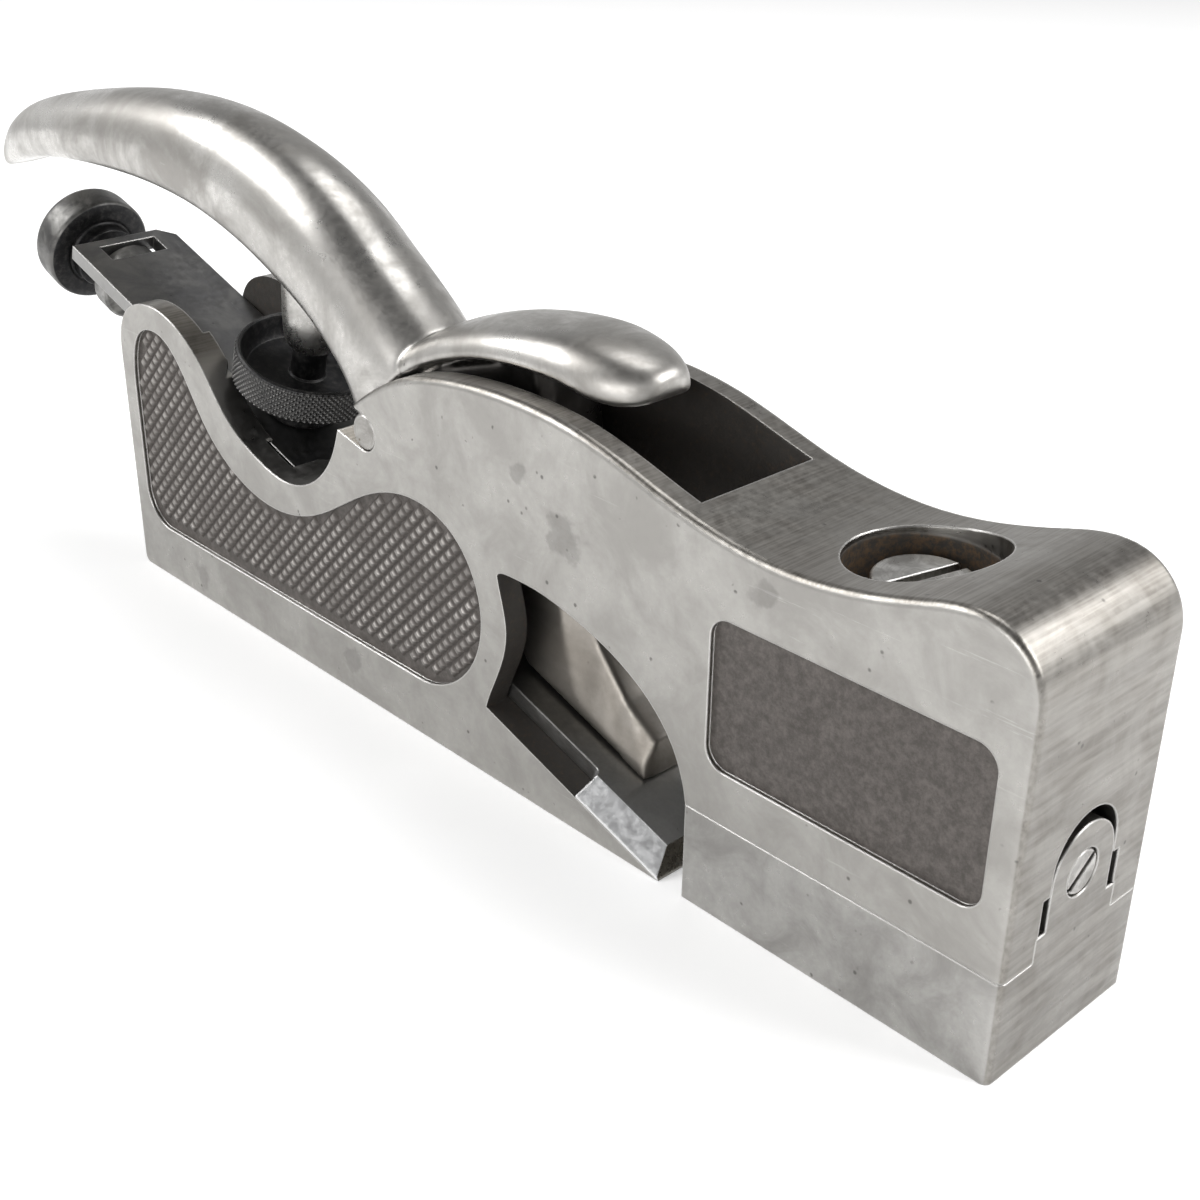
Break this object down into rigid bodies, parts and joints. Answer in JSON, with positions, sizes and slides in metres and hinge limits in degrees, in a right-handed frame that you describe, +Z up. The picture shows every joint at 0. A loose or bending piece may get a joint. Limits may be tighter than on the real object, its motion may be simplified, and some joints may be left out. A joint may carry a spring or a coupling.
{
  "type": "rebate plane",
  "caption": "Metal shoulder rebate plane with an adjustable toe, a screw-fed cutter held by a curved lever with a knurled wheel, and a checkered grip recess.",
  "frame": {"origin": "under the middle of the whole object, on the plane of the sole", "axes": "+X along the sole towards the toe, +Z up, +Y to the left of someone looking along +X"},
  "size_m": [0.2764, 0.0318, 0.0937],
  "materials": {
    "ground_iron": "ground flat, satin, lightly worn",
    "polished_iron": "hand polished, satin",
    "tool_steel": "dark tang, bright ground head",
    "black_steel": "blackened, worn at the knurls",
    "bright_steel": "turned, satin"
  },
  "bodies": {
    "plane": {"body": "ground_iron", "adjuster_bush": "bright_steel", "toe_stop_pin": "bright_steel"},
    "toe": {"toe_piece": "ground_iron", "toe_clamp_washer": "bright_steel"},
    "toe_clamp": {"toe_clamp_screw": "bright_steel"},
    "mouth_screw": {"mouth_adjusting_screw": "bright_steel"},
    "blade": {"cutter": "tool_steel"},
    "adjuster": {"adjuster_spindle": "black_steel", "adjuster_knob": "black_steel", "adjuster_knob_pin": "bright_steel"},
    "lever_cap": {"lever": "polished_iron", "lever_pin": "bright_steel"},
    "pad": {"lever_screw_pad": "black_steel"},
    "wheel": {"lever_screw": "black_steel"}
  },
  "joints": [
    {"name": "toe_slide", "type": "slide", "parent": "plane", "child": "toe", "axis": [1, 0, 0], "range_m": [-0.003, 0.003]},
    {"name": "mouth_screw_turn", "type": "hinge", "parent": "plane", "child": "mouth_screw", "pos_m": [0.13075, 0, 0.0263], "axis": [-1, 0, 0], "range_deg": [-1080.1, 1080.1]},
    {"name": "clamp_turn", "type": "hinge", "parent": "toe", "child": "toe_clamp", "pos_m": [0.10925, 0, 0.0516], "axis": [0, 0, 1], "range_deg": [0, 180]},
    {"name": "cutter_slide", "type": "slide", "parent": "plane", "child": "blade", "axis": [0.9511, 0, -0.309], "range_m": [-0.004, 0.001]},
    {"name": "adjuster_turn", "type": "hinge", "parent": "blade", "child": "adjuster", "pos_m": [-0.09408, 0, 0.05082], "axis": [0.9511, 0, -0.309], "range_deg": [-1440.1, 360.1]},
    {"name": "lever_rock", "type": "hinge", "parent": "plane", "child": "lever_cap", "pos_m": [0.00815, 0, 0.0518], "axis": [0, -1, 0], "range_deg": [0, 2.7]},
    {"name": "pad_slide", "type": "slide", "parent": "lever_cap", "child": "pad", "axis": [0.309, 0, 0.9511], "range_m": [0, 0.00226]},
    {"name": "lever_screw_turn", "type": "hinge", "parent": "pad", "child": "wheel", "pos_m": [-0.0318, 0, 0.04562], "axis": [0.309, 0, 0.9511], "range_deg": [0, 540.1]}
  ],
  "couplings": [
    {"joint": "mouth_screw_turn", "follows": "toe_slide", "rad_per_m": 6283.2},
    {"joint": "adjuster_turn", "follows": "cutter_slide", "rad_per_m": 6283.2},
    {"joint": "pad_slide", "follows": "lever_rock", "m_per_rad": 0.047746},
    {"joint": "lever_screw_turn", "follows": "lever_rock", "ratio": 200}
  ]
}
